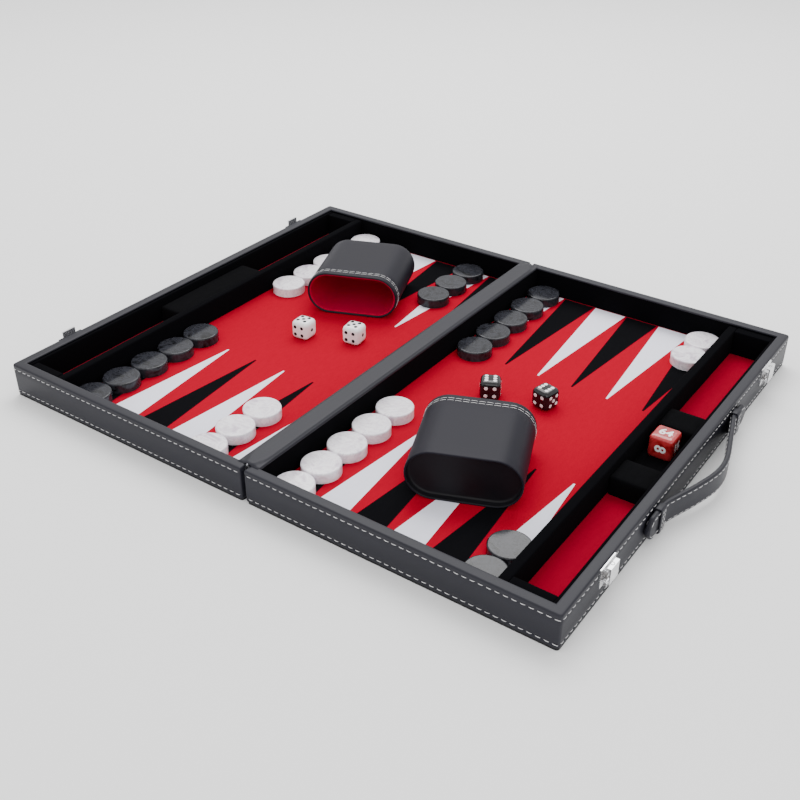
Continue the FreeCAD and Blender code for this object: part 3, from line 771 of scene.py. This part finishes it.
# The cup's section, from the recessed base round the outside and back in: (distance in from
# the outer face, distance from the base end) under each material. The base's material is darkened as
# painted shade.
CUP_SECTION = [
    (BASE, [(24.0, 6.0), (14.0, 6.0), (4.0, 6.0), (2.4, 5.6), (1.9, 4.6), (1.8, 1.2)]),
    (OUTER, [(1.5, 0.35), (0.9, 0), (0.4, 0.12), (0.1, 0.6), (0, 1.5), (0, 12), (0, 30), (0, 50),
             (0, 68), (0, 75.4), (0.12, 75.9), (0.12, 80.1), (0, 80.6), (0, 83.6), (0.12, 84.8),
             (0.45, 85.6), (0.9, 85.95), (1.5, 85.8), (1.95, 85.2)]),
    (LINING, [(2.1, 84.4), (2.5, 84.75), (3.0, 84.6), (3.3, 84.0), (3.1, 82.6), (3.0, 60),
              (3.0, 30), (3.0, 12), (3.6, 9.0), (6.0, 7.8), (24.0, 7.6)]),
]


def stadium(width, height, inset, steps=16):
    """Round-ended outline, set in by a distance; a deep inset leaves a flat line."""
    radius = max(height / 2 - inset, 0.05)
    reach = (width - height) / 2
    points = []
    for sign, start in ((1, -90), (-1, 90)):
        for step in range(steps + 1):
            angle = math.radians(start + 180 * step / steps)
            points.append((sign * reach + radius * math.cos(angle), radius * math.sin(angle)))
        for step in range(1, 6):
            share = step / 6
            points.append((sign * reach * (1 - 2 * share), sign * radius))
    return points


def cup_point(cup, a, height, along):
    """A point of a lying cup from its place across, up and along the cup."""
    x, y, turn = CUPS[cup]
    angle = math.radians(turn)
    across, ahead = Vector((math.cos(angle), math.sin(angle))), Vector((-math.sin(angle), math.cos(angle)))
    spot = Vector((x, y)) + across * a + ahead * along
    return at(spot.x, spot.y, FIELD_TOP + CUP_HEIGHT / 2 + height)


def cup_walls(cup):
    """The whole cup as one skin, from the middle of its base to the middle of its lining."""
    rings, face_slots = [], []
    for wall_slot, places in CUP_SECTION:
        for inset, along in places:
            outline = stadium(CUP_WIDTH, CUP_HEIGHT, min(inset, CUP_HEIGHT / 2))
            rings.append([cup_point(cup, a, height, along) for a, height in outline])
            face_slots += [wall_slot] * len(outline)
    points, faces = loft(rings, caps=True)
    face_slots = face_slots[:-len(rings[0])] + [BASE, LINING]
    piece("dice_cup_" + cup, "cup_" + cup, points, faces,
          [CUP_LEATHER, CUP_BASE_PAINTED_SHADE, CUP_RED], face_slots,
          stands_for=["cup_shell_" + cup, "cup_lining_" + cup])


def cup_stitches(cup):
    """The double row of stitches round a cup's mouth."""
    rows = []
    for along in CUP_ROWS:
        outline = stadium(CUP_WIDTH, CUP_HEIGHT, 0.0, 24)
        outline.append(outline[0])
        path = [cup_point(cup, a, height, along) for a, height in outline]
        outwards = []
        for place, (a, _) in zip(path, outline):
            core = min(max(a, -CUP_REACH), CUP_REACH)
            outwards.append((place - cup_point(cup, core, 0, along)).normalized())
        rows.append(stitch_line(path, outwards, *CUP_STITCH))
    points, faces = merge_parts(rows)
    piece("cup_stitches_" + cup, "cup_" + cup, points, faces, [THREAD])


for cup in CUPS:
    cup_walls(cup)
    cup_stitches(cup)

# ---- dice and doubling cube ------------------------------------------------------------

PIPS = {
    1: [(0, 0)],
    2: [(-1, -1), (1, 1)],
    3: [(-1, -1), (0, 0), (1, 1)],
    4: [(-1, -1), (-1, 1), (1, -1), (1, 1)],
    5: [(-1, -1), (-1, 1), (0, 0), (1, -1), (1, 1)],
    6: [(-1, -1), (-1, 0), (-1, 1), (1, -1), (1, 0), (1, 1)],
}

# A pip from its rim to its crown: (share of its radius, height as a share of its bulge).
PIP_PROFILE = [(1.0, -0.1), (1.0, 0.4), (0.85, 0.9), (0.45, 1.0)]
PIP_SIDES = 20


def pip(centre, outward):
    """A shallow filled disc on a face."""
    helper = Vector((0, 0, 1)) if abs(outward.z) < 0.9 else Vector((1, 0, 0))
    first = outward.cross(helper).normalized()
    second = outward.cross(first)
    rings = []
    for share, lift in PIP_PROFILE:
        ring = []
        for step in range(PIP_SIDES):
            angle = math.tau * step / PIP_SIDES
            spoke = first * math.cos(angle) + second * math.sin(angle)
            ring.append(centre + spoke * PIP_RADIUS * MM * share + outward * PIP_BULGE * MM * lift)
        rings.append(ring)
    points, faces = loft(rings)
    faces.append(tuple(range(len(points) - PIP_SIDES, len(points))))
    return points, [tuple(reversed(face)) for face in faces]


def turned(points, node_name, turn):
    """Move points built round a cube's own middle to where the CAD cube lies."""
    low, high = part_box(node_name)
    centre = (low + high) / 2
    spin = Matrix.Rotation(math.radians(turn), 3, "Z")
    return [spin @ point + centre for point in points]


def cube_body(size, radius):
    """A rounded cube round its own middle."""
    half = size / 2
    points, faces = soft_box((-half,) * 3, (half,) * 3, radius, cell=size / 8, round_base=True)
    shift = Vector((SEAM, 0, 0))
    return [point - shift for point in points], faces


DIE_SIZE = 19.0
DIE_ROUNDING = 4.6
PIP_STEP, PIP_RADIUS, PIP_BULGE = 3.9, 1.75, 0.07
# Each die: its body, its turn in degrees, the numbers on its top, front and right, and its finish.
DICE = [
    ("die_white_near", 4, (5, 4, 1), IVORY, PIP_BLACK, "ivory_plastic"),
    ("die_white_far", 8, (5, 4, 1), IVORY, PIP_BLACK, "ivory_plastic"),
    ("die_black_near", 28, (6, 4, 5), JET, PIP_WHITE, "black_plastic"),
    ("die_black_far", -13, (6, 4, 5), JET, PIP_WHITE, "black_plastic"),
]


def die(name, turn, numbers, body_material, pip_material, slot):
    """A rounded die and the pips on its six faces; opposite numbers add up to seven."""
    points, faces = cube_body(DIE_SIZE, DIE_ROUNDING)
    piece(name + "_body", name, turned(points, name, turn), faces, [body_material],
          stands_for=[name])
    top, front, right = numbers
    directions = {top: (0, 0, 1), 7 - top: (0, 0, -1), front: (0, -1, 0), 7 - front: (0, 1, 0),
                  right: (1, 0, 0), 7 - right: (-1, 0, 0)}
    parts = []
    for number, direction in directions.items():
        outward = Vector(direction)
        helper = Vector((0, 0, 1)) if abs(outward.z) < 0.5 else Vector((0, 1, 0))
        first = helper.cross(outward)
        for a, b in PIPS[number]:
            centre = (outward * DIE_SIZE / 2 + first * a * PIP_STEP + helper * b * PIP_STEP) * MM
            parts.append(pip(centre, outward))
    points, faces = merge_parts(parts)
    piece(name + "_pips", name, turned(points, name, turn), faces, [pip_material])


for made in DICE:
    die(*made)

low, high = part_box("doubling_cube")
CUBE_SIZE = (high.x - low.x) / MM
CUBE_MIDDLE = (low + high) / 2
CUBE_ROUNDING = 3.0
# Height of the numerals by how many figures they have, and how much each is thickened and raised.
NUMERAL_SIZE = {1: 13, 2: 11.5}
NUMERAL_WEIGHT, NUMERAL_LIFT = 0.35, 0.06
# Each numeral's face and the direction that is up for it.
NUMERALS = {
    "64": ((0, 0, 1), (0, 1, 0)), "8": ((0, -1, 0), (1, 0, 0)), "16": ((1, 0, 0), (0, 0, 1)),
    "2": ((0, 1, 0), (0, 0, 1)), "4": ((-1, 0, 0), (0, -1, 0)), "32": ((0, 0, -1), (0, 1, 0)),
}


def numeral(text, outward, upward):
    """A printed numeral on a face of the doubling cube."""
    curve = bpy.data.curves.new("numeral_" + text, "FONT")
    curve.body = text
    curve.size = NUMERAL_SIZE[len(text)] * MM
    curve.offset = NUMERAL_WEIGHT * MM
    curve.extrude = NUMERAL_LIFT * MM
    curve.align_x, curve.align_y = "CENTER", "CENTER"
    holder = bpy.data.objects.new("numeral_source", curve)
    bpy.context.collection.objects.link(holder)
    mesh = bpy.data.meshes.new_from_object(holder)
    bpy.data.objects.remove(holder)
    basis = Matrix((upward.cross(outward), upward, outward)).transposed().to_4x4()
    mesh.transform(Matrix.Translation(CUBE_MIDDLE + outward * CUBE_SIZE / 2 * MM) @ basis)
    made = bpy.data.objects.new("numeral_" + text, mesh)
    bpy.context.collection.objects.link(made)
    mesh.materials.clear()
    mesh.materials.append(PIP_WHITE)
    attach(made, "doubling_cube")


points, faces = cube_body(CUBE_SIZE, CUBE_ROUNDING)
piece("doubling_cube_body", "doubling_cube", turned(points, "doubling_cube", 0), faces,
      [CUBE_RED], stands_for=["doubling_cube"])
for text, (direction, up) in NUMERALS.items():
    numeral(text, Vector(direction), Vector(up))

# ---- CAD nodes that stay ---------------------------------------------------------------

# The first prefix that a node's name starts with gives its material.
NODE_MATERIALS = [
    ("base_cover", BASE_COVER_PAINTED_SHADE), ("base_board", WOOD), ("side_rails", WOOD), ("end_rail", WOOD),
    ("centre_rail", WOOD), ("inner_lining", VELVET), ("white_points", WHITE_FELT),
    ("black_points", BLACK_FELT), ("playing_field", RED_FELT), ("trough_felt", TROUGH_RED),
    ("hinge_leaf", HINGE), ("hinge_pin", HINGE), ("latch_springs", SPRING), ("latch_pins", SPRING),
    ("latch_rivets", RIVET), ("latch", CHROME), ("catch_pads", STRAP_LEATHER),
    ("catch_rivets", RIVET), ("catches", CHROME), ("checkers_white", WHITE_PEARL),
    ("checkers_black", BLACK_PEARL),
]
for name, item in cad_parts.items():
    for prefix, chosen in NODE_MATERIALS:
        if name.startswith(prefix):
            item.data.materials.clear()
            item.data.materials.append(chosen)
            break

# ---- floor, lights and camera ----------------------------------------------------------

FLOOR_HALF, FLOOR_DROP = 6, 0.0002
CORNERS = [(-1, -1), (1, -1), (1, 1), (-1, 1)]
floor_mesh = bpy.data.meshes.new("floor")
floor_points = [(FLOOR_HALF * x, FLOOR_HALF * y, -FLOOR_DROP) for x, y in CORNERS]
floor_mesh.from_pydata(floor_points, [], [(0, 1, 2, 3)])
floor = bpy.data.objects.new("floor", floor_mesh)
bpy.context.collection.objects.link(floor)
floor_mesh.materials.append(material("floor_pale", (0.97, 0.97, 0.97), 0.9))

world = bpy.data.worlds.new("studio")
bpy.context.scene.world = world
world.use_nodes = True
world.node_tree.nodes["Background"].inputs["Color"].default_value = (1, 1, 1, 1)
world.node_tree.nodes["Background"].inputs["Strength"].default_value = 1.25


def area_light(name, place, size, power):
    """A soft rectangular lamp that points at the case."""
    data = bpy.data.lights.new(name, "AREA")
    data.shape = "RECTANGLE"
    data.size, data.size_y = size
    data.energy = power
    lamp = bpy.data.objects.new(name, data)
    bpy.context.collection.objects.link(lamp)
    lamp.location = place
    lamp.rotation_euler = (-Vector(place)).to_track_quat("-Z", "Y").to_euler()


area_light("key", (-0.5, 0.9, 1.6), (1.6, 1.2), 34)
area_light("fill", (1.4, -1.6, 1.3), (1.6, 1.6), 12)

AZIMUTH, ELEVATION, ROLL = map(math.radians, (34.97, 32.464, 0.217))
level = Vector((-math.sin(AZIMUTH), math.cos(AZIMUTH), 0))
ahead = level * math.cos(ELEVATION) - Vector((0, 0, math.sin(ELEVATION)))
camera_data = bpy.data.cameras.new("camera")
camera_data.lens = 47.39
camera_data.sensor_width = 36.0
camera = bpy.data.objects.new("camera", camera_data)
bpy.context.collection.objects.link(camera)
camera.location = at(475.94, -697.56, 513.29)
camera.rotation_mode = "QUATERNION"
right = ahead.cross(Vector((0, 0, 1))).normalized()
upward = right.cross(ahead)
right, upward = (right * math.cos(ROLL) + upward * math.sin(ROLL),
                 upward * math.cos(ROLL) - right * math.sin(ROLL))
camera.rotation_quaternion = Matrix((right, upward, -ahead)).transposed().to_quaternion()
bpy.context.scene.camera = camera
